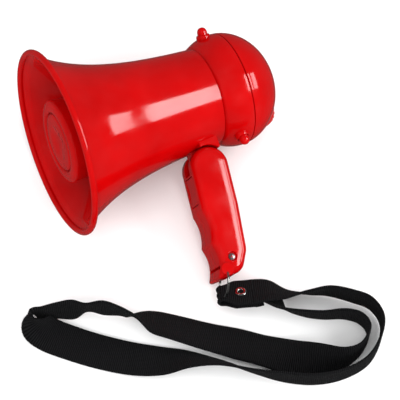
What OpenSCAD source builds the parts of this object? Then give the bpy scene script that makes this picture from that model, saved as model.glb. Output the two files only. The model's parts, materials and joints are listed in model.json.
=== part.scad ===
// Small hand megaphone with a re-entrant horn, a folding pistol grip and a webbing strap.
// It lies on its side: the mouth rim, the housing and the end of the grip touch the ground.
// Each sub-part is drawn in the megaphone's own axes (x from the mouth to the rear,
// z up, away from the grip, y to the far side), and place() lays it down on the ground.

/* [Horn] */
// Outer diameter of the mouth
mouth_d = 104; // [100:1:108]
// Length of the horn from the mouth to the housing
horn_l = 89; // [88:0.5:90]
// Wall of the horn
horn_wall = 2.2; // [1.8:0.1:2.6]
// Diameter of the reflector bowl inside the mouth
bowl_d = 47; // [44:1:50]
// Outer diameter of the throat tube
throat_d = 17; // [16:0.5:18]

/* [Housing] */
// Largest diameter of the housing
housing_d = 64; // [63:0.5:65]
// Length of the rounded housing if it were whole
housing_l = 54; // [53:0.5:55]
// Wall of the housing
housing_wall = 2; // [1.8:0.1:2.4]

/* [Grip] */
// Thickness of the grip across the finger grooves
grip_t = 24; // [23:0.5:25]
// Radius of the round head that the grip turns on
head_r = 10.6; // [10.2:0.1:10.8]
// Radius of the hinge pin
pin_r = 2; // [1.5:0.1:2.5]
// Travel of the trigger
trigger_travel = 2.5; // [1.5:0.1:3]

/* [Strap] */
// Width of the webbing
strap_w = 19; // [16:1:20]
// Thickness of the webbing
strap_t = 1.8; // [1.4:0.1:2]
// Inner radius of the split ring
ring_r = 7.4; // [7:0.1:8]

/* [Hidden] */
$fn = 96;

red = [0.89, 0.05, 0.06];
black = [0.05, 0.05, 0.05];
steel = [0.78, 0.78, 0.8];
green = [0.1, 0.4, 0.2];

// Resting pose: roll about the axis, then the tilt that brings rim and housing to the ground
rest_roll = -73.45;
rest_tilt = 10.91;
rest_shift = [-59.16, 22.83, 51.31];

mouth_r = mouth_d / 2;
neck_r = 25.6;
flare_len = 33.3;
lip_r = 1.8;
flare_gain = mouth_r - lip_r - neck_r - 0.2;
bell_step = 4;
plug_r = 24.2;
plug_l = 4;

bowl_r = bowl_d / 2;
bowl_front = 2.5;
bowl_back = 46;
bowl_wall = 1.6;
cap_r = 16;
throat_r = throat_d / 2;
throat_bore_r = throat_r - 1.4;

seam_x = 105;
housing_mid = 103;
housing_r = housing_d / 2;
housing_a = housing_l / 2;
seam_gap = 0.4;
button_r = 2.8;
button_travel = 1.2;
button_x = 98;
switch_top = 24.9;
top_turn = 20;
lower_turn = 158;
wheel_r = 9;
wheel_w = 4;
wheel_x = 116.8;
wheel_z = -17.9;
cap_flat = 1;

hinge = [75, 0, -38.8];
grip_half = grip_t / 2;
head_gap = 0.4;
tongue_half = 4;
tongue_r = 6;
fold_angle = 60;
fit_gap = 0.05;

function horn_r(x) = neck_r + flare_gain * exp(-x / flare_len);
function dome_r(x, inset = 0) =
    (housing_r - inset) * sqrt(max(0, 1 - pow((x - housing_mid) / (housing_a - inset), 2)));

// Lays the megaphone's own axes down into the resting pose
module place() {
    translate(rest_shift) rotate([rest_roll, rest_tilt, 0]) children();
}

// Turns an (axis distance, position along x) outline about the x axis
module turned() {
    rotate([0, 90, 0]) rotate_extrude() children();
}

// A cylinder along x from x0 to x1
module rod_x(r, x0, x1) {
    translate([x0, 0, 0]) rotate([0, 90, 0]) cylinder(r = r, h = x1 - x0);
}

// A cylinder along y, centred on y = 0
module rod_y(r, w) {
    rotate([90, 0, 0]) cylinder(r = r, h = w, center = true);
}

/* ---- horn ---- */

module horn_bell() {
    color(red) place() turned() {
        outer = [for (x = [1:bell_step:horn_l]) [horn_r(x), x]];
        inner = [for (x = [1:bell_step:horn_l - 4]) [horn_r(x) - horn_wall, x]];
        back = len(inner) - 1;
        polygon(concat(
            outer,
            [[plug_r, horn_l], [plug_r, horn_l + plug_l], [throat_r + 0.3, horn_l + plug_l],
             [throat_r + 0.3, horn_l - 2], [plug_r - 3, horn_l - 2]],
            [for (i = [back:-1:0]) inner[i]]
        ));
        difference() {
            translate([mouth_r - lip_r, lip_r - 0.6]) circle(r = lip_r, $fn = 32);
            translate([mouth_r - 3 * lip_r, -2]) square([3 * lip_r, 1.7]);
        }
    }
}

module reflector_bowl() {
    color(red) place() turned() {
        difference() {
            polygon([
                [0, bowl_front + 2], [cap_r + 0.3, bowl_front + 2], [cap_r + 0.3, bowl_front],
                [cap_r + 1.2, bowl_front - 0.8], [bowl_r - 2.5, bowl_front - 0.8],
                [bowl_r - 0.7, bowl_front], [bowl_r, bowl_front + 1.8], [bowl_r - 0.6, bowl_front + 12],
                [bowl_r - 4.5, bowl_back], [0, bowl_back]
            ]);
            polygon([
                [0, bowl_front + 4], [bowl_r - 3, bowl_front + 4], [bowl_r - 2.2, bowl_front + 12],
                [bowl_r - 4.5 - bowl_wall, bowl_back + 1], [0, bowl_back + 1]
            ]);
        }
    }
}

module reflector_cap() {
    dimple_r = 9;
    dimple_h = 1.3;
    color(red) place() turned() polygon([
        [0, bowl_front + 2], [cap_r, bowl_front + 2], [cap_r, bowl_front + 0.1],
        [cap_r - 1, bowl_front - 0.7], [dimple_r, bowl_front - 0.7],
        [dimple_r - 1, bowl_front - 0.5], [0, bowl_front - 0.5 + dimple_h]
    ]);
}

// Inner radius of the bowl's wall
function bowl_inner_r(x) =
    bowl_r - 2.2 - (2.3 + bowl_wall) * (x - bowl_front - 12) / (bowl_back - bowl_front - 11);

module reflector_struts() {
    strut_t = 2.4;
    strut_x = [28, bowl_back - 2];
    color(red) place() intersection() {
        union() {
            for (a = [90, 210, 330])
                rotate([a, 0, 0]) translate([strut_x[0], -strut_t / 2, throat_r - 0.5])
                    cube([strut_x[1] - strut_x[0], strut_t, bowl_r]);
        }
        turned() polygon([
            [throat_r, strut_x[0]], [bowl_inner_r(strut_x[0]), strut_x[0]],
            [bowl_inner_r(strut_x[1]), strut_x[1]], [throat_r, strut_x[1]]
        ]);
    }
}

module throat_tube() {
    color(red) place() difference() {
        turned() polygon([
            [throat_bore_r, 14], [throat_r - 0.6, 14], [throat_r, 18], [throat_r, horn_l + plug_l],
            [driver_r, horn_l + plug_l], [driver_r, driver_x], [throat_bore_r, driver_x]
        ]);
        driver_screw_axes() rod_x(screw_r, driver_x - 1.2, driver_x + 1);
    }
}

/* ---- driver ---- */

driver_x = horn_l + plug_l + 1.6;
driver_r = 20;
screw_r = 0.8;

module driver_gasket() {
    color(black) place() difference() {
        rod_x(driver_r, driver_x, driver_x + 0.8);
        rod_x(13, driver_x - 1, driver_x + 2);
        driver_screw_axes() rod_x(screw_r, driver_x - 1, driver_x + 2);
    }
}

module driver_frame() {
    color(steel) place() difference() {
        rod_x(driver_r, driver_x + 0.8, driver_x + 3);
        rod_x(12.4, driver_x, driver_x + 4);
        driver_screw_axes() rod_x(screw_r, driver_x, driver_x + 4);
    }
}

module driver_diaphragm() {
    color([0.9, 0.8, 0.55]) place() translate([driver_x + 1.4, 0, 0]) turned() polygon([
        [0, -0.6], [3, -0.3], [6, 0.4], [9, 1.2], [12.4, 1.2], [12.4, 1.5], [8.8, 1.5], [6, 0.7],
        [3, 0], [0, -0.3]
    ]);
}

module driver_voice_coil() {
    color([0.7, 0.4, 0.2]) place() difference() {
        rod_x(9.7, driver_x + 3, driver_x + 5.4);
        rod_x(9.1, driver_x + 2, driver_x + 6);
    }
}

module driver_magnet() {
    color([0.2, 0.2, 0.22]) place() difference() {
        rod_x(16, driver_x + 3, driver_x + 7.4);
        rod_x(10.2, driver_x + 2, driver_x + 8);
    }
}

module driver_yoke() {
    color(steel) place() {
        rod_x(16, driver_x + 7.4, driver_x + 9);
        rod_x(8.6, driver_x + 3.4, driver_x + 7.4);
    }
}

module driver_screw_axes() {
    for (a = [30, 150, 270]) rotate([a, 0, 0]) translate([0, 0, 18]) children();
}

module driver_screws() {
    color(steel) place() driver_screw_axes() {
        rod_x(screw_r, driver_x - 1.2, driver_x + 3);
        rod_x(1.5, driver_x + 3, driver_x + 4);
    }
}

/* ---- housing ---- */

// Band of the rounded housing between two positions along x
module dome_band(x0, x1, steps) {
    span = x1 - x0;
    outer = [for (i = [0:steps]) [dome_r(x0 + span * i / steps), x0 + span * i / steps]];
    inner = [for (i = [steps:-1:0])
        [dome_r(x0 + span * i / steps, housing_wall), x0 + span * i / steps]];
    polygon(concat(outer, inner));
}

// The two buttons face out of the housing, one on top and one beside the grip
module top_place() {
    rotate([top_turn, 0, 0]) translate([button_x, 0, 0]) children();
}

module lower_place() {
    rotate([lower_turn, 0, 0]) translate([button_x, 0, 0]) children();
}

module button_bezel() {
    translate([0, 0, 28.5]) cylinder(r = button_r + 1.2, h = housing_r - 27.3);
}

module button_bore() {
    cylinder(r = button_r + 0.2, h = housing_r + 6);
}

module housing_front() {
    color(red) place() difference() {
        union() {
            turned() {
                dome_band(horn_l, seam_x, 8);
                polygon([[plug_r + 0.1, horn_l], [dome_r(horn_l), horn_l],
                    [dome_r(horn_l + 2, 0.5), horn_l + 2], [plug_r + 0.1, horn_l + 2]]);
            }
            top_place() button_bezel();
            lower_place() button_bezel();
            chassis_screw_axes() rod_x(1.8, horn_l + 1, plate_x);
        }
        top_place() button_bore();
        lower_place() button_bore();
        chassis_screw_axes() rod_x(1, plate_x - 6, plate_x + 1);
        // room for the lip of the rear cap
        turned() translate([lip_in - 0.4, seam_x - 2.6])
            square([dome_r(seam_x, housing_wall) - lip_in + 0.4, 4]);
    }
}

plate_x = seam_x - 0.6;
plate_t = 1.4;
lip_in = 28.4;

module chassis_plate() {
    color(black) place() difference() {
        rod_x(lip_in - 0.4, plate_x, plate_x + plate_t);
        chassis_screw_axes() rod_x(1, plate_x - 1, plate_x + 3);
    }
}

module chassis_screw_axes() {
    for (a = [50, 220, 310]) rotate([a, 0, 0]) translate([0, 0, 26]) children();
}

module chassis_screws() {
    color(steel) place() chassis_screw_axes() {
        rod_x(1, plate_x - 5, plate_x + plate_t);
        rod_x(1.9, plate_x + plate_t, plate_x + plate_t + 1);
    }
}

cell_r = 5.2;
cell_l = 44;
cell_x = seam_x + 7.2;
board_x = cell_x + cell_r + 0.4;

module cell_axes() {
    for (z = [-2.4, 8.4]) translate([cell_x, 0, z]) children();
}

module battery_holder() {
    color(black) place() difference() {
        union() {
            translate([plate_x + plate_t, -23.4, -8.4]) cube([5, 46.8, 23]);
            // shelf that carries the circuit board
            translate([plate_x + plate_t, -8, 14.2]) cube([board_x - plate_x - plate_t, 16, 2]);
        }
        cell_axes() rod_y(cell_r + 0.1, cell_l + 1);
    }
}

module batteries() {
    color([0.1, 0.3, 0.6]) place() cell_axes() {
        rod_y(cell_r, cell_l - 1.6);
        translate([0, -cell_l / 2 + 0.8, 0]) rod_y(1.9, 1.6);
    }
}

module battery_contacts() {
    color(steel) place() cell_axes() for (side = [-1, 1]) translate([0, side * (cell_l / 2 + 0.35), 0])
        rod_y(3.4, 0.3);
}

module circuit_board() {
    color(green) place() translate([board_x, -15, -7]) cube([1.2, 30, 23.2]);
}

module volume_potentiometer() {
    color(steel) place() translate([wheel_x, 0, wheel_z]) {
        translate([0, pot_y - 2, 0]) rod_y(4.4, 4);
        translate([0, pot_y / 2 - 1.4, 0]) rod_y(1.5 - fit_gap, pot_y);
    }
}

module volume_wheel() {
    notches = 24;
    color(red) place() translate([wheel_x, 0, wheel_z]) difference() {
        rod_y(wheel_r, wheel_w);
        rod_y(1.5, wheel_w + 2);
        for (i = [0:notches - 1]) rotate([0, i * 360 / notches, 0])
            translate([wheel_r + 0.25, 0, 0]) rod_y(0.6, wheel_w + 1, $fn = 24);
    }
}

module button_switches() {
    body_h = 4.3;
    color(black) place() for (a = [top_turn, lower_turn]) rotate([a, 0, 0])
        translate([button_x - 3, -3, switch_top - body_h]) cube([plate_x - button_x + 3, 6, body_h]);
}

module microphone_boot() {
    color(black) place() difference() {
        rod_x(6.4, 121.4, 127);
        rod_x(4.8, 121, 125.8);
        rod_x(3.2, 121, 128);
    }
}

module microphone_capsule() {
    color(steel) place() rod_x(4.8, 121.4, 125.8);
}

rear_x = housing_mid + housing_a;
grille_r = 7;
pot_y = wheel_w / 2 + 4.3;

module rear_cap() {
    wall_x = rear_x - cap_flat;
    color(red) place() difference() {
        union() {
            turned() {
                dome_band(seam_x + seam_gap, wall_x, 18);
                translate([lip_in, seam_x - 2.2]) square([1.2, 6]);
            }
            rod_x(dome_r(wall_x), wall_x - 2, wall_x);
            // plate that carries the volume control
            translate([111, pot_y, -24.5]) cube([8, 1.4, 12.5]);
        }
        rod_x(grille_r, rear_x - 2.2, rear_x + 2);
        rod_x(5.6, rear_x - 5, rear_x);
        translate([wheel_x - 3.8, -wheel_w / 2 - 0.5, -31]) cube([13.6, wheel_w + 1, 19]);
        top_place() button_bore();
        lower_place() button_bore();
    }
}

module microphone_grille() {
    spacing = 1.5;
    color(black) place() difference() {
        rod_x(grille_r, rear_x - 2.2, rear_x - cap_flat + 0.1);
        for (y = [-3:3], z = [-3:3])
            if (norm([y, z]) < 3.7)
                translate([0, y * spacing, z * spacing]) rod_x(0.45, rear_x - 3, rear_x, $fn = 6);
    }
}

// Push button with a domed cap, drawn standing on z = 0 with its face up
module push_button() {
    rotate_extrude() polygon([
        [0, 0], [button_r + 1, 0], [button_r + 1, 1.2], [button_r, 1.2], [button_r, 7.6],
        [button_r - 0.3, 8.9], [button_r - 0.9, 9.9], [button_r - 1.8, 10.5], [0, 10.8]
    ]);
}

button_lift = switch_top + button_travel + 0.3;

module top_button() {
    color(red) place() top_place() translate([0, 0, button_lift]) push_button();
}

module lower_button() {
    color(red) place() lower_place() translate([0, 0, button_lift]) push_button();
}

/* ---- grip ---- */

module handle_bracket() {
    half = grip_half + 0.3;
    color(red) place() difference() {
        union() {
            difference() {
                intersection() {
                    translate([72.5, -half, -35.4]) cube([11.5, 2 * half, 16]);
                    translate([0, 0, -40]) linear_extrude(30) offset(r = 2) polygon([
                        [60, 2 - half], [82, 2 - half], [82, half - 2], [60, half - 2]
                    ]);
                }
                translate(hinge) rod_y(head_r + head_gap, 2 * half + 2);
            }
            translate(hinge) rod_y(tongue_r, 2 * tongue_half);
            translate([hinge[0] - tongue_r, -tongue_half, hinge[2]])
                cube([2 * tongue_r, 2 * tongue_half, 20]);
        }
        turned() polygon(concat([[0, 61]], [for (x = [61:bell_step:89]) [horn_r(x), x]], [[0, 89]]));
        translate(hinge) rod_y(pin_r + fit_gap, 60);
    }
}

module hinge_pin() {
    color(steel) place() translate(hinge) rod_y(pin_r, grip_t - 3);
}

// Side outline of the grip as round corners: [x, z, radius]
grip_corners = [
    [75, -38.8, head_r], [71.8, -62, 10.7], [68.3, -85, 9.7], [66.6, -91.2, 7.8], [58.6, -97.4, 1.6]
];

groove_r = 32;
groove_at = [[30.2, -69], [28.2, -89]];

// One layer of the grip's outline, pulled in by inset, half thick on each side of the middle
module grip_layer(inset, half) {
    for (c = grip_corners)
        translate([c[0], 0, c[1]]) rod_y(max(c[2] - inset, 0.4), 2 * half);
}

// The outer shape of the whole grip: straight sides with a bevelled edge all round
module grip_solid() {
    difference() {
        hull() {
            $fn = 32;
            grip_layer(0, grip_half - 2.4);
            grip_layer(0.9, grip_half - 0.8);
            grip_layer(2.2, grip_half);
        }
        for (g = groove_at) translate([g[0], 0, g[1]]) rod_y(groove_r, grip_t + 2);
    }
}

// The sector that the bracket's tongue sweeps in the grip's head as the grip folds
module tongue_sweep(w) {
    r = tongue_r + 0.5;
    out = 24;
    low = [-r * cos(fold_angle), -r * sin(fold_angle)];
    translate(hinge) {
        rod_y(tongue_r + 0.4, w);
        rotate([90, 0, 0]) linear_extrude(w, center = true) polygon([
            [r, -1], [r, out], [-out, out], low + out * [-sin(fold_angle), cos(fold_angle)], low
        ]);
    }
}

module grip_half(side) {
    difference() {
        intersection() {
            grip_solid();
            translate([0, side * grip_t, -60]) cube([300, 2 * grip_t, 160], center = true);
        }
        // room for the trigger, its spring and its switch
        translate([57, -6.4, -58.2]) cube([20, 12.8, 24.4]);
        // hollow lower part
        translate([64.5, -grip_half + 2.4, -85]) cube([9.5, grip_t - 4.8, 23]);
        // slot for the bracket's tongue
        tongue_sweep(2 * tongue_half + 0.6);
        translate(hinge) rod_y(pin_r - 0.005, grip_t - 3);
        grip_screw_axes() rod_y(0.9, 60);
        lanyard_pocket();
    }
}

screw_head_r = 2.1;
low_screw = [67.4, 0, -89.8];
high_screw = [79, 0, -60.5];
lanyard_hole = [62, -10.8, -95.4];
lanyard_r = 2.5;

module grip_screw_axes() {
    translate(low_screw) children();
    translate(high_screw) children();
}

// Open pocket in the end of the grip, and the hole through its near wall for the ring
module lanyard_pocket() {
    translate([58.8, -grip_half + 2.4, -101]) cube([6.6, grip_t - 5.6, 8.8]);
    translate(lanyard_hole) rod_y(lanyard_r, 6);
}

module handle_near_half() {
    color(red) place() difference() {
        grip_half(-1);
        translate(low_screw) translate([0, -grip_half, 0]) rod_y(screw_head_r + 0.1, 3);
    }
}

module handle_far_half() {
    color(red) place() grip_half(1);
}

module handle_screws() {
    color(steel) place() {
        grip_screw_axes() rod_y(0.9, grip_t - 7);
        translate(low_screw) translate([0, 0.9 - grip_half, 0]) rod_y(screw_head_r, 1.2);
    }
}

trigger_z = -50;
coil_r = 2;
coil_pitch = 1.8;

module trigger() {
    color(red) place() difference() {
        intersection() {
            union() {
                translate([63.2, -5.9, -56.8]) cube([5.4, 11.8, 21.6]);
                translate([64.9, 0, -37.2]) rod_y(2, 11.8);
                translate([64.2, 0, -54.8]) rod_y(2, 11.8);
            }
            // rounded about the hinge so that it clears the horn when the grip folds
            union() {
                translate(hinge) rod_y(head_r + 0.2, 20);
                translate([50, -10, -70]) cube([30, 20, 65 + hinge[2]]);
            }
        }
        translate([43.4, 0, -46]) rod_y(20.6, 14);
        translate([0, 0, trigger_z]) rod_x(coil_r + 0.6, 66.4, 70);
        // room for the tongue and the bracket, with the trigger pulled and the grip folded
        for (x = [0, -trigger_travel]) translate([x, 0, 0]) tongue_sweep(20);
    }
}

module trigger_spring() {
    color(steel) place() translate([66.7, 0, trigger_z]) for (i = [0:3])
        translate([i * coil_pitch, 0, 0]) turned() translate([coil_r, 0]) circle(r = 0.25, $fn = 24);
}

module trigger_switch() {
    color(black) place() translate([72.4, -4, -57.6]) cube([4.4, 8, 12.2]);
}

/* ---- ring and strap ---- */

wire_r = 0.7;
ring_mid_r = ring_r + wire_r;
ring_lean = 38;
ring_turn = 21;

// Ring wire of radius r, hanging from the hole in the end of the grip
module ring_wire(r) {
    translate(lanyard_hole) rotate([ring_lean, ring_turn, 0]) translate([0, 0, -ring_mid_r])
        rotate([0, 90, 0]) rotate_extrude() translate([ring_mid_r, 0]) circle(r = r, $fn = 32);
}

module split_ring() {
    color(steel) place() ring_wire(wire_r);
}

// The two plies of the webbing meet here: folded round the ring, then riveted.
// Drawn with the ring's wire at the origin, x towards the rivet and z up.
fold_at = [rest_shift[0] + 50.8, rest_shift[1] - 103, 11.1];
fold_turn = -20;
fold_lean = -24;
fold_l = 15.8;
rivet_x = 10.4;
rivet_r = 3.2;

module fold_place() {
    translate(fold_at) rotate([fold_lean, 0, fold_turn]) children();
}

module strap_end_fold() {
    loop_r = wire_r + 0.3 + strap_t;
    neck_w = 11;
    color(black) difference() {
        fold_place() intersection() {
            rotate([90, 0, 0]) linear_extrude(strap_w, center = true) polygon(concat(
                [for (a = [50:20:310]) loop_r * [cos(a), sin(a)]],
                [[5, -strap_t], [fold_l, -strap_t], [fold_l, strap_t], [5, strap_t]]
            ));
            linear_extrude(20, center = true) polygon([
                [-5, -neck_w / 2], [2, -neck_w / 2], [7, -strap_w / 2], [20, -strap_w / 2],
                [20, strap_w / 2], [7, strap_w / 2], [2, neck_w / 2], [-5, neck_w / 2]
            ]);
        }
        place() ring_wire(wire_r + 0.1);
        fold_place() translate([rivet_x, 0, 0]) cylinder(r = rivet_r - 1, h = 20, center = true);
    }
}

module strap_rivet() {
    head_h = 0.8;
    color(steel) fold_place() translate([rivet_x, 0, 0]) difference() {
        union() {
            cylinder(r = rivet_r - 1, h = 2 * strap_t, center = true);
            for (side = [-1, 1]) translate([0, 0, side * (strap_t + head_h / 2)])
                cylinder(r = rivet_r, h = head_h, center = true);
        }
        cylinder(r = rivet_r - 1.8, h = 20, center = true);
    }
}

// Route of the webbing on the ground, from the rivet all the way round and back to it:
// [x, y, height of the middle, angle of the width from level], x and y from below the mouth
route = [
    [65.96, -108.13, 11.92, -24], [75, -111.4, 12.4, -34], [85, -117, 9.8, -60], [95, -121, 10.2, -76],
    [105, -125, 10.5, -86], [115, -133, 10.5, -90], [122, -141, 10.5, -90], [123, -152, 10.5, -90],
    [116, -162, 10.5, -90], [105, -169, 10.5, -90], [90, -170, 10.5, -90], [75, -166, 10.5, -90],
    [61, -158, 10.5, -92], [49, -149, 10.2, -102], [35, -137, 9.4, -114], [21, -128, 7.6, -134],
    [7, -121, 4.2, -160], [-7, -112, 2, -175], [-21, -101, 1.6, -181], [-33, -90, 1.8, -184],
    [-42, -81, 3.2, -194], [-47, -74, 7.6, -228], [-46, -69, 10.5, -262], [-40, -71, 10.6, -270],
    [-33, -73, 10.6, -276], [-25, -76, 10.6, -282], [-18, -78, 10.6, -263], [-10, -82, 10.6, -273],
    [-3, -87, 10.6, -266], [2, -92, 10.4, -257], [11, -99, 6.8, -216], [21, -107, 5.6, -208],
    [35, -119, 4.8, -202], [48, -129, 3.4, -193], [60, -139, 3.1, -191], [72, -149, 3.8, -165],
    [84, -157, 7.8, -135], [96, -162, 10.2, -106], [106, -161, 10.5, -92], [114, -154, 10.5, -90],
    [113, -146, 10.5, -91], [106, -140, 10.5, -93], [96, -136, 10.5, -96], [86, -130, 10.4, -101],
    [77, -122, 10, -114], [73, -111.5, 8.2, -146], [65.68, -108.82, 10.28, -156]
];
route_n = len(route);

function route_point(i) = [route[i][0] + rest_shift[0], route[i][1] + rest_shift[1], route[i][2]];
function heading(i) =
    let (a = route[max(i - 1, 0)], b = route[min(i + 1, route_n - 1)]) atan2(b[1] - a[1], b[0] - a[0]);

// Corners of the flat webbing's section, across its width and its thickness
section = [
    [-0.5, 0.22], [-0.44, 0.5], [0.44, 0.5], [0.5, 0.22],
    [0.5, -0.22], [0.44, -0.5], [-0.44, -0.5], [-0.5, -0.22]
];

function section_point(i, c) =
    let (h = heading(i), t = route[i][3],
         across = [-sin(h) * cos(t), cos(h) * cos(t), sin(t)],
         through = [sin(h) * sin(t), -cos(h) * sin(t), cos(t)])
    route_point(i) + strap_w * c[0] * across + strap_t * c[1] * through;

module strap() {
    sides = len(section);
    rings = [for (i = [0:route_n - 1]) for (c = section) section_point(i, c)];
    walls = [for (i = [0:route_n - 2]) for (j = [0:sides - 1])
        let (a = i * sides + j, b = i * sides + (j + 1) % sides)
        each [[a, a + sides, b], [b, a + sides, b + sides]]];
    ends = [[for (j = [0:sides - 1]) j], [for (j = [sides - 1:-1:0]) (route_n - 1) * sides + j]];
    color(black) polyhedron(points = rings, faces = concat(walls, ends), convexity = 10);
}

horn_bell();
reflector_bowl();
reflector_cap();
reflector_struts();
throat_tube();
driver_gasket();
driver_frame();
driver_diaphragm();
driver_voice_coil();
driver_magnet();
driver_yoke();
driver_screws();
housing_front();
chassis_plate();
chassis_screws();
circuit_board();
battery_holder();
batteries();
battery_contacts();
volume_potentiometer();
button_switches();
microphone_boot();
microphone_capsule();
rear_cap();
microphone_grille();
volume_wheel();
top_button();
lower_button();
handle_bracket();
hinge_pin();
handle_near_half();
handle_far_half();
handle_screws();
trigger();
trigger_spring();
trigger_switch();
split_ring();
strap();
strap_end_fold();
strap_rivet();
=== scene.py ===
import json
import math

import bmesh
import bpy
import numpy as np
from mathutils import Matrix, Vector

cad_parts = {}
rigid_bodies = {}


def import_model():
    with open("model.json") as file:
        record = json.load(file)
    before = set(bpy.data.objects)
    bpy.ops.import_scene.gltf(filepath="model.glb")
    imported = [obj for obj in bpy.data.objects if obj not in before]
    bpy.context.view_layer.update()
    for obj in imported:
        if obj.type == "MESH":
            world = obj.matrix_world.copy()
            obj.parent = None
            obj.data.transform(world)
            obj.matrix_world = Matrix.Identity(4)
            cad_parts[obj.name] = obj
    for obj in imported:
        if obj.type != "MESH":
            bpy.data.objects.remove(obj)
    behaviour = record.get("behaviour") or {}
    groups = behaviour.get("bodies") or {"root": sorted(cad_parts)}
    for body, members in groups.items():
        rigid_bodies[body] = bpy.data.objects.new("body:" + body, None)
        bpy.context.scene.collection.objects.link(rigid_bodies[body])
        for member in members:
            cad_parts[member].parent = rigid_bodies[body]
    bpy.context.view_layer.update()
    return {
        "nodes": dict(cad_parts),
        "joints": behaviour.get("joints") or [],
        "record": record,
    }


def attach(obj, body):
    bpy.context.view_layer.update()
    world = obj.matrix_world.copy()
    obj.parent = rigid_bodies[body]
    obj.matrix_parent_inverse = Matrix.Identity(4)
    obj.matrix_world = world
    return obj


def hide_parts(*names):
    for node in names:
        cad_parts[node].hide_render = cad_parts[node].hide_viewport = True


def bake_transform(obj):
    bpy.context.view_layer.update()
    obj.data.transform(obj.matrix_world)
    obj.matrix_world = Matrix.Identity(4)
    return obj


for leftover in list(bpy.data.objects):
    bpy.data.objects.remove(leftover)

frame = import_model()
record = frame["record"]
joints = {j["name"]: j for j in frame["joints"]}

# ---- the megaphone's own axes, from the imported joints: x to the rear, z away from the grip ----

AX = Vector(joints["rear_cover_pull"]["axis"]).normalized()
AY = Vector(joints["grip_fold"]["axis"]).normalized()
AZ = AX.cross(AY)
HINGE = (75.0, 0.0, -38.8)
ORIGIN = Vector(joints["grip_fold"]["pos_m"]) - (AX * HINGE[0] + AZ * HINGE[2]) / 1000
LOCAL = Matrix((
    (AX.x, AY.x, AZ.x, ORIGIN.x), (AX.y, AY.y, AZ.y, ORIGIN.y),
    (AX.z, AY.z, AZ.z, ORIGIN.z), (0, 0, 0, 1),
)) @ Matrix.Scale(0.001, 4)


def spot(x, y, z):
    """A point in millimetres on the megaphone's own axes, in the row frame."""
    return LOCAL @ Vector((x, y, z))


# ---- camera ----

AZIMUTH, ELEVATION, ROLL = math.radians(-24), math.radians(66), math.radians(-1)
DISTANCE = 0.9
back = Vector((math.sin(AZIMUTH) * math.cos(ELEVATION), -math.cos(AZIMUTH) * math.cos(ELEVATION),
               math.sin(ELEVATION)))
right = Vector((math.cos(AZIMUTH), math.sin(AZIMUTH), 0))
up = back.cross(right)
aim = ORIGIN + (77.5 * right - 31.5 * up - 33.22 * back) / 1000
cam_data = bpy.data.cameras.new("Camera")
cam_data.lens = 145.5
cam_data.sensor_width = 36
cam = bpy.data.objects.new("Camera", cam_data)
bpy.context.scene.collection.objects.link(cam)
cam.matrix_world = Matrix.Translation(aim + back * DISTANCE) @ Matrix((
    (right.x, up.x, back.x, 0), (right.y, up.y, back.y, 0), (right.z, up.z, back.z, 0), (0, 0, 0, 1),
)) @ Matrix.Rotation(ROLL, 4, "Z")
bpy.context.scene.camera = cam

# ---- materials ----


class Nodes:
    """A short way to build one node material."""

    def __init__(self, name):
        self.material = bpy.data.materials.new(name)
        self.material.use_nodes = True
        self.tree = self.material.node_tree
        self.shader = self.tree.nodes["Principled BSDF"]

    def set(self, **values):
        for key, value in values.items():
            self.shader.inputs[key.replace("_", " ")].default_value = value
        return self

    def add(self, kind, settings=None, **inputs):
        node = self.tree.nodes.new(kind)
        for key, value in (settings or {}).items():
            setattr(node, key, value)
        for key, value in inputs.items():
            socket = node.inputs[int(key[1:]) if key[0] == "i" and key[1:].isdigit() else key.replace("_", " ")]
            if isinstance(value, bpy.types.NodeSocket):
                self.tree.links.new(value, socket)
            else:
                socket.default_value = value
        return node

    def coords(self, output="Object"):
        return self.add("ShaderNodeTexCoord").outputs[output]

    def noise(self, scale, detail=3.0, vector=None):
        node = self.add("ShaderNodeTexNoise", Scale=scale, Detail=detail)
        self.tree.links.new(vector or self.coords(), node.inputs["Vector"])
        return node.outputs["Fac"]

    def spread(self, fac, low, high, at=(0.3, 0.7)):
        node = self.add("ShaderNodeMapRange", Value=fac)
        for key, value in zip((1, 2, 3, 4), (at[0], at[1], low, high)):
            node.inputs[key].default_value = value
        return node.outputs["Result"]

    def ramp(self, fac, *stops):
        node = self.add("ShaderNodeValToRGB", Fac=fac)
        ramp = node.color_ramp
        while len(ramp.elements) < len(stops):
            ramp.elements.new(0.5)
        for element, (place, colour) in zip(ramp.elements, stops):
            element.position = place
            element.color = colour
        return node.outputs["Color"]

    def bump(self, height, distance, strength=1.0, normal=None):
        node = self.add("ShaderNodeBump", Height=height, Distance=distance, Strength=strength)
        if normal:
            self.tree.links.new(normal, node.inputs["Normal"])
        return node.outputs["Normal"]

    def join(self, **sockets):
        for key, socket in sockets.items():
            self.tree.links.new(socket, self.shader.inputs[key.replace("_", " ")])
        return self.material


def red_plastic(name, deep=(0.39, 0.0002, 0.0005, 1), bright=(0.47, 0.0005, 0.001, 1), rough=0.1):
    n = Nodes(name).set(IOR=1.5, Coat_Weight=0.25, Coat_Roughness=0.05)
    flow = n.noise(45, 4)
    peel = n.noise(900, 2)
    dust = n.noise(2600, 1)
    colour = n.ramp(flow, (0.3, deep), (0.7, bright))
    roughness = n.spread(n.noise(120, 5), rough - 0.04, rough + 0.07)
    first = n.bump(peel, 0.00001, 0.4)
    return n.join(Base_Color=colour, Roughness=roughness, Normal=n.bump(dust, 0.000004, 0.3, first))


def moulded_black(name, base=0.014, rough=0.5):
    n = Nodes(name).set(IOR=1.48)
    grain = n.noise(3500, 2)
    shade = n.ramp(n.noise(70, 4), (0.3, (base * 0.8, base * 0.8, base * 0.85, 1)),
                   (0.7, (base * 1.5, base * 1.5, base * 1.5, 1)))
    return n.join(Base_Color=shade, Roughness=n.spread(grain, rough - 0.1, rough + 0.12),
                  Normal=n.bump(grain, 0.00003, 0.5))


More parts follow.
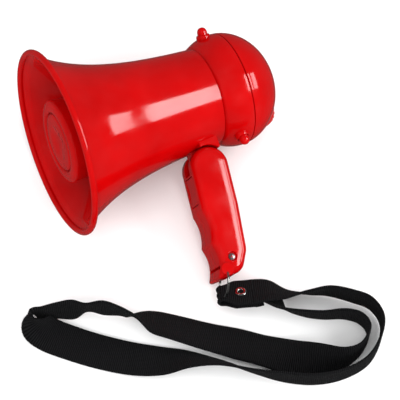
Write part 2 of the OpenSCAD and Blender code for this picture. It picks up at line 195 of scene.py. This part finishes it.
def metal(name, tone=(0.74, 0.73, 0.71), rough=0.14, scratch=1.0):
    n = Nodes(name).set(Metallic=1.0)
    smear = n.noise(160, 4)
    fine = n.noise(2200, 3)
    dull = tuple(v * 0.82 for v in tone)
    colour = n.ramp(smear, (0.25, (*dull, 1)), (0.75, (*tone, 1)))
    return n.join(Base_Color=colour, Roughness=n.spread(smear, rough * 0.7, rough * 1.7),
                  Normal=n.bump(fine, 0.000006 * scratch, 0.5))


def plain_grained(name, low, high, rough=0.45, scale=400):
    n = Nodes(name)
    grain = n.noise(scale, 4)
    return n.join(Base_Color=n.ramp(grain, (0.3, (*low, 1)), (0.7, (*high, 1))),
                  Roughness=n.spread(grain, rough - 0.08, rough + 0.1), Normal=n.bump(grain, 0.00002, 0.4))


def webbing(name):
    """Ribbed grosgrain: u runs along the strap in metres, v across its width."""
    n = Nodes(name).set(Sheen_Weight=0.03, Sheen_Roughness=0.5, Sheen_Tint=(0.5, 0.5, 0.52, 1),
                        Specular_IOR_Level=0.12)
    uv = n.coords("UV")
    parts = n.add("ShaderNodeSeparateXYZ", Vector=uv)
    u, v = parts.outputs["X"], parts.outputs["Y"]
    wobble = n.spread(n.noise(500, 2), -0.35, 0.35)
    phase = n.add("ShaderNodeMath", {"operation": "MULTIPLY_ADD"}, i0=u, i1=2 * math.pi / 0.00105, i2=wobble)
    rib = n.add("ShaderNodeMath", {"operation": "SINE"}, i0=phase.outputs[0]).outputs[0]
    thread_phase = n.add("ShaderNodeMath", {"operation": "MULTIPLY"}, i0=v, i1=2 * math.pi / 0.0005)
    thread = n.add("ShaderNodeMath", {"operation": "SINE"}, i0=thread_phase.outputs[0]).outputs[0]
    height = n.add("ShaderNodeMath", {"operation": "MULTIPLY_ADD"}, i0=thread, i1=0.25, i2=rib).outputs[0]
    fuzz = n.noise(5000, 2)
    # painted shade: the colour follows the rib height, darker in the rib valleys and lighter on the crests
    colour = n.ramp(n.spread(rib, 0.0, 1.0, (-1, 1)), (0.0, (0.0015, 0.0015, 0.0017, 1)),
                    (1.0, (0.009, 0.009, 0.01, 1)))
    first = n.bump(height, 0.00016, 1.0)
    return n.join(Base_Color=colour, Roughness=n.spread(fuzz, 0.5, 0.8),
                  Normal=n.bump(fuzz, 0.00005, 0.5, first))


RED = red_plastic("red gloss plastic")
BLACK = moulded_black("black moulded plastic")
RUBBER = moulded_black("black rubber", 0.02, 0.7)
NICKEL = metal("bright nickel", (0.82, 0.81, 0.79), 0.12)
STEEL = metal("satin steel", (0.62, 0.62, 0.63), 0.3, 2.0)
FERRITE = plain_grained("ferrite", (0.02, 0.02, 0.022), (0.05, 0.05, 0.052), 0.6)
COPPER = metal("enamelled copper", (0.72, 0.34, 0.18), 0.3)
FILM = plain_grained("diaphragm film", (0.6, 0.5, 0.3), (0.72, 0.62, 0.4), 0.35)
BOARD = plain_grained("board", (0.01, 0.11, 0.04), (0.02, 0.17, 0.06), 0.35, 900)
CELLS = plain_grained("cell sleeve", (0.02, 0.05, 0.2), (0.03, 0.08, 0.3), 0.3)
WEB = webbing("black ribbed webbing")

SLOT_MATERIAL = {
    "red_shell": RED, "black_plastic": BLACK, "black_rubber": RUBBER, "steel": STEEL, "ferrite": FERRITE,
    "copper": COPPER, "diaphragm_film": FILM, "board_green": BOARD, "cell_wrap": CELLS, "nickel": NICKEL,
    "webbing": WEB,
}
for part in record["subparts"]:
    mesh = frame["nodes"][part["node"]].data
    mesh.materials.clear()
    mesh.materials.append(SLOT_MATERIAL[part["material_slot"]])

# ---- mesh helpers ----


def new_object(name, points, faces, material, smooth=True):
    """A mesh object from points in the row frame, in metres."""
    mesh = bpy.data.meshes.new(name)
    mesh.from_pydata([tuple(p) for p in points], [], faces)
    mesh.validate()
    bm = bmesh.new()
    bm.from_mesh(mesh)
    bmesh.ops.recalc_face_normals(bm, faces=bm.faces)
    bm.to_mesh(mesh)
    bm.free()
    mesh.materials.append(material)
    obj = bpy.data.objects.new(name, mesh)
    bpy.context.scene.collection.objects.link(obj)
    if smooth:
        mesh.polygons.foreach_set("use_smooth", [True] * len(mesh.polygons))
    return obj


def sharpen(obj, degrees=35):
    """Smooth shading that keeps edges sharper than this angle."""
    bm = bmesh.new()
    bm.from_mesh(obj.data)
    limit = math.radians(degrees)
    for edge in bm.edges:
        edge.smooth = len(edge.link_faces) == 2 and edge.calc_face_angle(0) < limit
    bm.to_mesh(obj.data)
    bm.free()
    return obj


def with_modifiers(obj):
    """Applies obj's modifiers to its mesh."""
    graph = bpy.context.evaluated_depsgraph_get()
    mesh = bpy.data.meshes.new_from_object(obj.evaluated_get(graph), depsgraph=graph)
    obj.modifiers.clear()
    obj.data = mesh
    return obj


def cut(obj, *tools):
    """Takes the tools' volume out of obj, then removes the tools."""
    for tool in tools:
        modifier = obj.modifiers.new("cut", "BOOLEAN")
        modifier.operation = "DIFFERENCE"
        modifier.solver = "EXACT"
        modifier.object = tool
        with_modifiers(obj)
        bpy.data.objects.remove(tool)
    return obj


def bevelled(obj, width, segments=4, degrees=50):
    modifier = obj.modifiers.new("bevel", "BEVEL")
    modifier.width = width
    modifier.segments = segments
    modifier.limit_method = "ANGLE"
    modifier.angle_limit = math.radians(degrees)
    modifier.harden_normals = False
    return sharpen(with_modifiers(obj), 40)


def finish_piece(obj, body, slot, *nodes):
    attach(obj, body)
    if nodes:
        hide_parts(*nodes)
    return obj


def smooth_path(points, steps):
    """Rounds an outline's corners: a point's third number is how far its curve reaches."""
    out = []
    for i, point in enumerate(points):
        p = np.array(point[:2], float)
        radius = point[2] if len(point) > 2 else 0
        if radius == 0 or i in (0, len(points) - 1):
            out.append(p)
            continue
        a = np.array(points[i - 1][:2], float) - p
        b = np.array(points[i + 1][:2], float) - p
        la, lb = np.linalg.norm(a), np.linalg.norm(b)
        a, b = a / la, b / lb
        reach = min(radius, 0.49 * la, 0.49 * lb)
        for k in range(steps + 1):
            t = k / steps
            out.append((1 - t) ** 2 * (p + a * reach) + 2 * t * (1 - t) * p + t * t * (p + b * reach))
    return out


def lathe(name, profile, material, axis_point=(0, 0, 0), axis="x", turn=None, around=160, closed=True):
    """Turns (position along the axis, radius) points about an axis of the megaphone."""
    turn = turn or Matrix.Identity(4)
    points, faces = [], []
    for x, r in profile:
        for k in range(around):
            a = 2 * math.pi * k / around
            here = Vector((x, r * math.cos(a), r * math.sin(a))) if axis == "x" else (
                Vector((r * math.cos(a), r * math.sin(a), x)))
            points.append(LOCAL @ turn @ (Vector(axis_point) + here))
    n = len(profile)
    for i in range(n if closed else n - 1):
        j = (i + 1) % n
        for k in range(around):
            m = (k + 1) % around
            faces.append((i * around + k, i * around + m, j * around + m, j * around + k))
    obj = new_object(name, points, faces, material)
    bm = bmesh.new()
    bm.from_mesh(obj.data)
    bmesh.ops.remove_doubles(bm, verts=bm.verts, dist=1e-7)
    bmesh.ops.recalc_face_normals(bm, faces=bm.faces)
    bm.to_mesh(obj.data)
    bm.free()
    return sharpen(obj, 40)


def box_tool(low, high, turn=None):
    """A box in the megaphone's own axes, in millimetres, for cutting."""
    turn = turn or Matrix.Identity(4)
    corners = [LOCAL @ turn @ Vector((x, y, z)) for x in (low[0], high[0]) for y in (low[1], high[1])
               for z in (low[2], high[2])]
    faces = [(0, 1, 3, 2), (4, 6, 7, 5), (0, 4, 5, 1), (2, 3, 7, 6), (0, 2, 6, 4), (1, 5, 7, 3)]
    return new_object("tool", corners, faces, RED, False)


def prism(name, outline, y0, y1, material):
    """A side outline in (x, z), in millimetres, drawn out from y0 to y1."""
    n = len(outline)
    points = [spot(x, y, z) for y in (y0, y1) for x, z in outline]
    faces = [tuple(range(n)), tuple(range(2 * n - 1, n - 1, -1))]
    faces += [(i, (i + 1) % n, n + (i + 1) % n, n + i) for i in range(n)]
    return new_object(name, points, faces, material, False)


# ---- strap: the route's points as in the CAD model, in millimetres from below the mouth ----

ROUTE = [
    (65.96, -108.13, 11.92, -24), (75, -111.4, 12.4, -34), (85, -117, 9.8, -60), (95, -121, 10.2, -76),
    (105, -125, 10.5, -86), (115, -133, 10.5, -90), (122, -141, 10.5, -90), (123, -152, 10.5, -90),
    (116, -162, 10.5, -90), (105, -169, 10.5, -90), (90, -170, 10.5, -90), (75, -166, 10.5, -90),
    (61, -158, 10.5, -92), (49, -149, 10.2, -102), (35, -137, 9.4, -114), (21, -128, 7.6, -134),
    (7, -121, 4.2, -160), (-7, -112, 2, -175), (-21, -101, 1.6, -181), (-33, -90, 1.8, -184),
    (-42, -81, 3.2, -194), (-47, -74, 7.6, -228), (-46, -69, 10.5, -262), (-40, -71, 10.6, -270),
    (-33, -73, 10.6, -276), (-25, -76, 10.6, -282), (-18, -78, 10.6, -263), (-10, -82, 10.6, -273),
    (-3, -87, 10.6, -266), (2, -92, 10.4, -257), (11, -99, 6.8, -216), (21, -107, 5.6, -208),
    (35, -119, 4.8, -202), (48, -129, 3.4, -193), (60, -139, 3.1, -191), (72, -149, 3.8, -165),
    (84, -157, 7.8, -135), (96, -162, 10.2, -106), (106, -161, 10.5, -92), (114, -154, 10.5, -90),
    (113, -146, 10.5, -91), (106, -140, 10.5, -93), (96, -136, 10.5, -96), (86, -130, 10.4, -101),
    (77, -122, 10, -114), (73, -111.5, 8.2, -146), (65.68, -108.82, 10.28, -156),
]
STRAP_W, STRAP_T = 19.0, 1.5
FINE = 6


def catmull(p0, p1, p2, p3, t):
    return 0.5 * (2 * p1 + (p2 - p0) * t + (2 * p0 - 5 * p1 + 4 * p2 - p3) * t * t
                  + (3 * p1 - p0 - 3 * p2 + p3) * t ** 3)


def strap_stations():
    r = np.array(ROUTE, float)
    r = np.vstack([2 * r[0] - r[1], r, 2 * r[-1] - r[-2]])
    out = []
    for i in range(1, len(r) - 2):
        out += [catmull(r[i - 1], r[i], r[i + 1], r[i + 2], k / FINE) for k in range(FINE)]
    return np.array(out + [r[-2]])


def make_strap():
    stations = strap_stations()
    flat = stations[:, :3].copy()
    lean = np.radians(stations[:, 3])
    # keep the lower edge of the webbing on the ground or above it
    reach = STRAP_W / 2 * np.abs(np.sin(lean)) + STRAP_T / 2 * np.abs(np.cos(lean))
    flat[:, 2] = np.maximum(flat[:, 2], reach + 0.05)
    centre = flat / 1000 + np.array([ORIGIN.x, ORIGIN.y, 0])
    along = np.gradient(centre, axis=0)
    heading = np.arctan2(along[:, 1], along[:, 0])
    across = np.stack([-np.sin(heading) * np.cos(lean), np.cos(heading) * np.cos(lean), np.sin(lean)], 1)
    unit = along / np.linalg.norm(along, axis=1)[:, None]
    across -= unit * (across * unit).sum(1)[:, None]
    across /= np.linalg.norm(across, axis=1)[:, None]
    through = np.cross(unit, across)
    run = np.concatenate([[0], np.cumsum(np.linalg.norm(np.diff(centre, axis=0), axis=1))])
    columns = np.linspace(-0.5, 0.5, 13)
    section = [(c, 0.5 * (1 - 0.55 * max(0, abs(c) - 0.44) / 0.06)) for c in columns]
    section += [(c, -h) for c, h in reversed(section)]
    points, uvs = [], []
    for i in range(len(centre)):
        for c, h in section:
            points.append(centre[i] + (STRAP_W * c * across[i] + STRAP_T * h * through[i]) / 1000)
            uvs.append((run[i], c * STRAP_W / 1000))
    n = len(section)
    faces = [(i * n + j, (i + 1) * n + j, (i + 1) * n + (j + 1) % n, i * n + (j + 1) % n)
             for i in range(len(centre) - 1) for j in range(n)]
    faces += [tuple(range(n)), tuple(range(len(points) - 1, len(points) - n - 1, -1))]
    obj = new_object("webbing_strap", points, faces, WEB)
    layer = obj.data.uv_layers.new(name="length")
    for loop in obj.data.loops:
        layer.data[loop.index].uv = uvs[loop.vertex_index]
    return obj, centre, run, n


BLEND_STATION, BLEND_LENGTH = 40, 0.09
strap, strap_line, strap_run, strap_n = make_strap()
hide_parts("strap")
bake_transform(strap)
total = strap_run[-1]
weights = []
for r in strap_run:
    t = min(1.0, min(r, total - r) / BLEND_LENGTH)
    weights += [t * t * (3 - 2 * t)] * strap_n

# ---- red shells ----

NECK, GAIN, FLARE = 25.6, 24.4, 33.3
RIM_X, RIM_R, LIP = 1.2, 50.2, 1.8
HORN_WALL = 2.2


def horn_radius(x):
    return NECK + GAIN * math.exp(-max(x, 0) / FLARE)


def horn_profile():
    outer = [(x, horn_radius(x)) for x in np.linspace(3.2, 89, 60)]
    inner = [(x, horn_radius(x) - HORN_WALL) for x in np.linspace(84.5, 3.4, 56)]
    rim = [(RIM_X + LIP * math.sin(math.radians(a)), RIM_R - LIP * math.cos(math.radians(a)))
           for a in range(25, -231, -10)]
    return outer + [(89, 24.2), (93, 24.2), (93, 8.8), (87, 8.8), (87, 21.2)] + inner + rim


horn = lathe("horn_shell", horn_profile(), RED, around=224)
finish_piece(horn, "body", "red_shell", "horn_bell")

BOWL = [(4.5, 0), (4.5, 16.3), (2.9, 16.3, 0.5), (1.75, 17.1, 0.9), (1.7, 20.4, 2.2), (2.9, 23.2, 2.2),
        (14, 22.9, 6), (30, 21, 6), (46, 19)]
BOWL_INSIDE = [(46, 17.4), (30, 19.3), (14, 21.1), (6, 20.6), (6, 0)]
bowl = lathe("reflector_shell", [tuple(p) for p in smooth_path(BOWL, 8)] + BOWL_INSIDE, RED, around=192)
finish_piece(bowl, "body", "red_shell", "reflector_bowl")
CAP = [(4.1, 0.0), (2.2, 7.6, 0.8), (1.8, 9.6, 0.6), (1.8, 14.6, 1.0), (2.4, 15.9, 0.5), (4.5, 15.9), (4.5, 0.0)]
cap = lathe("reflector_face", [tuple(p) for p in smooth_path(CAP, 6)], RED, around=160)
finish_piece(cap, "body", "red_shell", "reflector_cap")

SEAM, MID, HR, HA = 105.0, 103.0, 32.0, 27.0


def dome(x, inset=0.0):
    return (HR - inset) * math.sqrt(max(0.0, 1 - ((x - MID) / (HA - inset)) ** 2))


def front_profile():
    edge = dome(89)
    outer = [(89.0, 24.3), (89.0, edge - 1.6), (89.15, edge - 0.8), (89.9, edge + 0.6),
             (90.6, dome(90.6) + 0.05)]
    outer += [(x, dome(x)) for x in np.linspace(91.2, SEAM - 0.35, 28)]
    outer += [(SEAM - 0.1, dome(SEAM) - 0.12), (SEAM, dome(SEAM) - 0.4), (SEAM, dome(SEAM) - 2)]
    inner = [(x, dome(x, 2)) for x in np.linspace(SEAM - 0.2, 91.4, 14)]
    return outer + inner + [(91, 24.3)]


def ring_tool(x0, x1, r, at, turn):
    """A round rod along z of the turned axes, for cutting the button bores."""
    return lathe("tool", [(x0, 0), (x0, r), (x1, r), (x1, 0)], RED, at, "z", turn, 64, False)


BUTTON_X, BUTTON_R = 98.0, 2.8
TURNS = {node: Matrix.Rotation(math.radians(angle), 4, "X")
         for node, angle in (("top_button", 20), ("lower_button", 158))}

front = lathe("housing_front_shell", front_profile(), RED, around=224)
cut(front, *[ring_tool(20, 40, BUTTON_R + 0.2, (BUTTON_X, 0, 0), t) for t in TURNS.values()])
sharpen(front, 35)
finish_piece(front, "body", "red_shell", "housing_front")


def rear_profile():
    outer = [(SEAM + 0.4, dome(SEAM) - 2), (SEAM + 0.4, dome(SEAM) - 0.4), (SEAM + 0.5, dome(SEAM) - 0.12)]
    outer += [(MID + HA * math.sin(a), HR * math.cos(a))
              for a in np.linspace(math.asin((SEAM + 0.75 - MID) / HA), math.asin((129 - MID) / HA), 40)]
    outer += [(129, 7.05), (127.6, 7.0), (127.6, 5.6), (126.8, 5.6)]
    inner = [(MID + 25 * math.sin(a), 30 * math.cos(a)) for a in
             np.linspace(math.asin((126.6 - MID) / 25), math.asin((SEAM + 0.6 - MID) / 25), 24)]
    return outer + inner


rear = lathe("rear_cap_shell", rear_profile(), RED, around=224)
cut(rear, box_tool((113, -2.5, -31), (126.6, 2.5, -12)))
sharpen(rear, 35)
finish_piece(rear, "rear_cover", "red_shell", "rear_cap")

LIFT = 26.4
for node, turn in TURNS.items():
    shape = [(0, 0), (0, BUTTON_R + 0.9), (1.1, BUTTON_R + 0.9), (1.2, BUTTON_R), (7.6, BUTTON_R)]
    shape += [(7.6 + 3.2 * math.sin(math.radians(a)), BUTTON_R * math.cos(math.radians(a)) ** 0.8)
              for a in range(8, 89, 8)] + [(10.8, 0)]
    shape = [(LIFT + h, r) for h, r in shape]
    knob = lathe(node + "_knob", shape, RED, (BUTTON_X, 0, 0), "z", turn, 72, False)
    finish_piece(knob, node, "red_shell", node)
    bezel = [(29.0, 0.25), (32.7, 0.25), (33.05, 0.4), (33.0, 0.7), (32.3, 1.1), (31.2, 1.2), (29.0, 1.2)]
    bezel = [(h, BUTTON_R + out) for h, out in bezel]
    collar = lathe(node + "_collar", bezel, RED, (BUTTON_X, 0, 0), "z", turn, 72)
    finish_piece(collar, "body", "red_shell")

# ---- bracket between the horn and the grip ----

HEAD = 10.6


def arc(radius, low, high, step):
    """Points round the hinge, in degrees from the rear."""
    return [(HINGE[0] + radius * math.cos(math.radians(a)), HINGE[2] + radius * math.sin(math.radians(a)))
            for a in range(low, high, step)]


saddle = [(83.9, -30.8), (83.9, -23.0), (83.2, -21.0), (72.6, -21.0)] + arc(11, 42, 104, 5)[::-1]
bracket = bevelled(prism("bracket_saddle", saddle, -12.2, 12.2, RED), 0.0007, 4, 55)
finish_piece(bracket, "body", "red_shell", "handle_bracket")
tongue = [(81.0, -21.0), (69.0, -21.0)] + arc(6, 180, 361, 10)
finish_piece(bevelled(prism("bracket_tongue", tongue, -4, 4, RED), 0.0003, 2, 55), "body", "red_shell")

# ---- grip: side outline as round corners, with finger grooves, lofted over rounded sides ----

CORNERS = [(75, -38.8, HEAD), (71.8, -62, 10.7), (68.3, -85, 9.7), (66.6, -91.2, 7.8), (58.6, -97.4, 1.9)]
GROOVES = [(38.2, -68.0, 24.0), (40.4, -86.0, 20.0)]
SCREW_AT = (67.4, -89.8)
RING_AT = (62, -95.4)


def grip_outline(inset):
    """The side outline pulled in by inset, as the same number of points each time."""
    circles = [(x, z, max(r - inset, 0.25)) for x, z, r in CORNERS]
    n = len(circles)
    angles = []
    for i in range(n):
        (x0, z0, r0), (x1, z1, r1) = circles[i], circles[(i + 1) % n]
        d = math.hypot(x1 - x0, z1 - z0)
        angles.append(math.atan2(z1 - z0, x1 - x0) + math.acos(max(-1, min(1, (r0 - r1) / d))))
    points = []
    for i in range(n):
        x, z, r = circles[i]
        start, end = angles[i - 1], angles[i]
        while end > start:
            end -= 2 * math.pi
        while end < start - 2 * math.pi + 1e-9:
            end += 2 * math.pi
        steps = 26 if i == 0 else 10
        for k in range(steps + 1):
            a = start + (end - start) * k / steps
            points.append((x + r * math.cos(a), z + r * math.sin(a)))
        nx, nz, nr = circles[(i + 1) % n]
        a = angles[i]
        here = (x + r * math.cos(a), z + r * math.sin(a))
        there = (nx + nr * math.cos(a), nz + nr * math.sin(a))
        span = 40 if i == n - 1 else 6
        for k in range(1, span):
            t = k / span
            points.append((here[0] + (there[0] - here[0]) * t, here[1] + (there[1] - here[1]) * t))
    out = []
    for x, z in points:
        push = 0.0
        if x < 68 and -106 < z < -48:
            for gx, gz, gr in GROOVES:
                reach = (gr + inset) ** 2 - (z - gz) ** 2
                if reach > 0:
                    depth = gx + math.sqrt(reach) - x
                    push = max(push, depth + 0.25 * math.exp(-abs(depth) / 0.3) if depth > -1 else 0)
        out.append((x + max(push, 0.0), z))
    return out


# how far each ring of the half lies from the split, and how far its outline is pulled in there
EDGE = [(0.0, 0.35), (0.35, 0.0), (8.4, 0.0), (9.2, 0.12), (10.0, 0.45), (10.7, 0.95),
        (11.25, 1.65), (11.6, 2.5), (11.82, 3.6), (11.95, 5.0), (12.0, 6.6)]


def grip_half(name, side):
    rings = [grip_outline(inset) for _, inset in EDGE]
    n = len(rings[0])
    points = [spot(x, side * y, z) for (y, _), ring in zip(EDGE, rings) for x, z in ring]
    faces = [(i * n + k, i * n + (k + 1) % n, (i + 1) * n + (k + 1) % n, (i + 1) * n + k)
             for i in range(len(EDGE) - 1) for k in range(n)]
    faces += [tuple(range((len(EDGE) - 1) * n, len(EDGE) * n)), tuple(range(n - 1, -1, -1))]
    half = new_object(name, points, faces, RED)
    trigger_room = box_tool((58, -6.3, -57.0), (76, 6.3, -40.8))
    ring_room = box_tool((58.8, -9.6, -101), (65.4, 8.8, -92.2))
    tools = [trigger_room, ring_room]
    slot = [(6.5, -1), (6.5, 24), (-24, 24), (-24, 6.4), (-3.25, -5.63)]
    tools.append(prism("tool", [(HINGE[0] + x, HINGE[2] + z) for x, z in slot], -4.3, 4.3, RED))
    rod = Matrix.Rotation(math.radians(90), 4, "X")
    if side < 0:
        for (x, z), r, start, mouth in ((SCREW_AT, 2.6, 10.6, 11.7), (RING_AT, 2.45, 8, 11.5)):
            tools.append(lathe("tool", [(start, 0), (start, r), (mouth, r), (13, 3.4), (13, 0)], RED,
                               (0, 0, 0), "z", Matrix.Translation((x, 0, z)) @ rod, 48, False))
    else:
        for x, z in (SCREW_AT, (79, -60.5)):
            tools.append(lathe("tool", [(9.5, 0), (9.5, 1.6), (13, 1.9), (13, 0)], RED, (0, 0, 0), "z",
                               Matrix.Translation((x, 0, z)) @ rod.inverted(), 32, False))
    cut(half, *tools)
    sharpen(half, 38)
    node = "handle_near_half" if side < 0 else "handle_far_half"
    return finish_piece(half, "grip", "red_shell", node)


grip_half("grip_near_shell", -1)
grip_half("grip_far_shell", 1)

# ---- trigger ----

# the blade's face follows the front of the grip and is hollowed by half a millimetre
face = [(64.6 + 0.1423 * (z + 37.35) + 0.5 * (1 - ((z + 48.7) / 7.1) ** 2), z)
        for z in np.linspace(-55.8, -41.6, 14)]
outline = [(68.6, -56.6), (62.6, -56.6)] + face + [(64.4, -41.2), (68.4, -43.9)]
trigger = bevelled(prism("trigger_blade", outline, -5.9, 5.9, RED), 0.0009, 4, 28)
finish_piece(trigger, "trigger", "red_shell", "trigger")

# ---- grip screw with a cross recess, on the near side ----


def screw(name, x, y, z, radius, side):
    turn = Matrix.Translation((x, 0, z)) @ Matrix.Rotation(math.radians(90 if side < 0 else -90), 4, "X")
    shape = [(y - 6, 0), (y - 6, 0.9), (y - 1.2, 0.9), (y - 1.2, radius - 0.1), (y - 0.9, radius),
             (y - 0.35, radius * 0.85), (y - 0.1, radius * 0.5), (y, 0)]
    obj = lathe(name, shape, STEEL, (0, 0, 0), "z", turn, 48, False)
    arm = radius * 0.55
    tools = [box_tool((-arm, -0.28, y - 0.8), (arm, 0.28, y + 1), turn),
             box_tool((-0.28, -arm, y - 0.8), (0.28, arm, y + 1), turn)]
    return cut(obj, *tools)


finish_piece(screw("grip_screw_low", SCREW_AT[0], 11.3, SCREW_AT[1], 2.1, -1), "grip", "steel", "handle_screws")

# ---- split ring, folded strap end and rivet ----

RING_R = 8.1
HOLE = Vector((RING_AT[0], -10.8, RING_AT[1]))
ring_turn = Matrix.Translation(HOLE) @ Matrix.Rotation(math.radians(21), 4, "Y") @ Matrix.Rotation(
    math.radians(38), 4, "X") @ Matrix.Translation((0, 0, -RING_R))


def split_ring():
    """Two turns of half-round wire lying against each other."""
    turns, steps, sides = 1.92, 200, 12
    points = []
    for i in range(steps + 1):
        a = 2 * math.pi * turns * i / steps + 0.6
        shift = (i / steps - 0.5) * 0.78
        shift += 0.12 * math.tanh((i / steps - 0.5) * 14)
        for k in range(sides):
            b = 2 * math.pi * k / sides
            r = RING_R + 0.62 * math.cos(b)
            here = Vector((shift + 0.36 * math.sin(b), r * math.cos(a), r * math.sin(a)))
            points.append(LOCAL @ ring_turn @ here)
    faces = [(i * sides + k, (i + 1) * sides + k,
              (i + 1) * sides + (k + 1) % sides, i * sides + (k + 1) % sides)
             for i in range(steps) for k in range(sides)]
    faces += [tuple(range(sides)), tuple(range(len(points) - 1, len(points) - sides - 1, -1))]
    return new_object("key_ring", points, faces, NICKEL)


ring = finish_piece(split_ring(), "ring", "nickel", "split_ring")

FOLD = Matrix.Translation(Vector((ORIGIN.x + 0.0508, ORIGIN.y - 0.103, 0.0111))) @ Matrix.Rotation(
    math.radians(-20), 4, "Z") @ Matrix.Rotation(math.radians(-24), 4, "X") @ Matrix.Scale(0.001, 4)


def strap_fold():
    """Both plies of the webbing round the ring, gathered narrow at the ring and wide at the rivet."""
    loop = 1.9
    line = [(17.5, -0.95), (14, -0.92), (11, -0.9), (8, -0.95), (5.5, -1.2), (3.2, -1.6), (1.2, -1.9)]
    line += [(loop * math.cos(math.radians(a)), loop * math.sin(math.radians(a)))
             for a in range(-90, -271, -15)]
    line += [(x, -z) for x, z in reversed(line[:7])]
    line = np.array(line)
    path = []
    for i in range(len(line) - 1):
        a, b = line[i], line[i + 1]
        parts = max(1, int(np.linalg.norm(b - a) / 0.7))
        path += [a + (b - a) * k / parts for k in range(parts)]
    path = np.array(path + [line[-1]])
    for _ in range(3):
        path[1:-1] = (path[:-2] + 2 * path[1:-1] + path[2:]) / 4
    tangent = np.gradient(path, axis=0)
    tangent /= np.linalg.norm(tangent, axis=1)[:, None]
    normal = np.stack([-tangent[:, 1], tangent[:, 0]], 1)
    run = np.concatenate([[0], np.cumsum(np.linalg.norm(np.diff(path, axis=0), axis=1))])
    columns = np.linspace(-0.5, 0.5, 13)
    points, uvs = [], []
    for i, (x, z) in enumerate(path):
        open_out = min(1.0, max(0.0, (x - 0.5) / 7.5))
        width = 11.5 + 7.0 * open_out * open_out * (3 - 2 * open_out)
        pucker = 0.28 * (1 - open_out)
        for side in (1, -1):
            for c in columns[::side]:
                lift = side * 0.75 * (1 - 0.5 * max(0, abs(c) - 0.44) / 0.06)
                lift += pucker * math.cos(c * 5 * math.pi)
                points.append(FOLD @ Vector((x + normal[i, 0] * lift, c * width, z + normal[i, 1] * lift)))
                uvs.append((run[i] / 1000, c * width / 1000))
    n = 2 * len(columns)
    faces = [(i * n + j, (i + 1) * n + j, (i + 1) * n + (j + 1) % n, i * n + (j + 1) % n)
             for i in range(len(path) - 1) for j in range(n)]
    faces += [tuple(range(n)), tuple(range(len(points) - 1, len(points) - n - 1, -1))]
    obj = new_object("strap_end", points, faces, WEB)
    layer = obj.data.uv_layers.new(name="length")
    for element in obj.data.loops:
        layer.data[element.index].uv = uvs[element.vertex_index]
    return obj


fold = finish_piece(strap_fold(), "ring", "webbing", "strap_end_fold")


def eyelet():
    """A tubular rivet with a rolled flange on each side."""
    half = [(0.0, 1.35), (1.9, 1.35), (2.35, 1.6), (2.55, 2.1), (2.5, 2.75),
            (2.2, 3.15), (1.75, 3.2), (1.6, 2.2), (0.0, 2.2)]
    rounded = [tuple(p) for p in smooth_path([(h, r, 0.5) for h, r in half], 3)]
    lower = [(-h, r) for h, r in reversed(rounded)]
    around, points, faces = 64, [], []
    profile = rounded + lower
    for h, r in profile:
        for k in range(around):
            a = 2 * math.pi * k / around
            points.append(FOLD @ Vector((10.4 + r * math.cos(a), r * math.sin(a), h)))
    n = len(profile)
    for i in range(n):
        j = (i + 1) % n
        for k in range(around):
            m = (k + 1) % around
            faces.append((i * around + k, i * around + m, j * around + m, j * around + k))
    return new_object("strap_eyelet", points, faces, NICKEL)


rivet = finish_piece(eyelet(), "ring", "nickel", "strap_rivet")

# ---- floor, world and lights ----

bpy.ops.mesh.primitive_plane_add(size=8)
floor = bpy.context.object
floor.name = "floor"
n = Nodes("white floor").set(Roughness=0.75, Specular_IOR_Level=0.2)
floor_tone = n.ramp(n.noise(6, 2), (0.3, (0.93, 0.93, 0.93, 1)), (0.7, (0.96, 0.96, 0.96, 1)))
floor.data.materials.append(n.join(Base_Color=floor_tone))
floor.visible_glossy = False
world = bpy.data.worlds.new("studio")
world.use_nodes = True
tree = world.node_tree
shell = tree.nodes["Background"]
shell.inputs["Color"].default_value = (1, 1, 1, 1)
path = tree.nodes.new("ShaderNodeLightPath")
dim = tree.nodes.new("ShaderNodeMapRange")
dim.inputs["To Min"].default_value = 0.8
dim.inputs["To Max"].default_value = 0.08
tree.links.new(path.outputs["Is Glossy Ray"], dim.inputs["Value"])
tree.links.new(dim.outputs["Result"], shell.inputs["Strength"])
bpy.context.scene.world = world


def lamp(name, direction, distance, wide, tall, power, glossy=True):
    """A rectangular soft light that faces the megaphone."""
    data = bpy.data.lights.new(name, "AREA")
    data.shape = "RECTANGLE"
    data.size = wide
    data.size_y = tall
    data.energy = power
    obj = bpy.data.objects.new(name, data)
    bpy.context.scene.collection.objects.link(obj)
    obj.location = ORIGIN + Vector(direction).normalized() * distance
    obj.rotation_mode = "QUATERNION"
    away = (obj.location - ORIGIN).normalized()
    level = (AX - away * AX.dot(away)).normalized()
    obj.rotation_quaternion = Matrix((level, away.cross(level), away)).transposed().to_quaternion()
    obj.visible_glossy = glossy
    return obj


lamp("window", (0.708, -0.367, 0.602), 1.1, 0.24, 0.56, 3.4)
lamp("window pane", (0.886, -0.271, 0.374), 1.1, 0.22, 0.46, 1.8)
lamp("soft top", (-0.1, -0.2, 1.0), 1.2, 0.9, 0.9, 5.0, False)
lamp("soft left", (-0.8, -0.3, 0.55), 1.1, 0.7, 0.5, 3.2, False)
lamp("soft front", (0.1, -0.85, 0.6), 1.1, 0.8, 0.5, 5.0, False)

scene = bpy.context.scene
scene.view_settings.view_transform = "Standard"
scene.view_settings.look = "None"
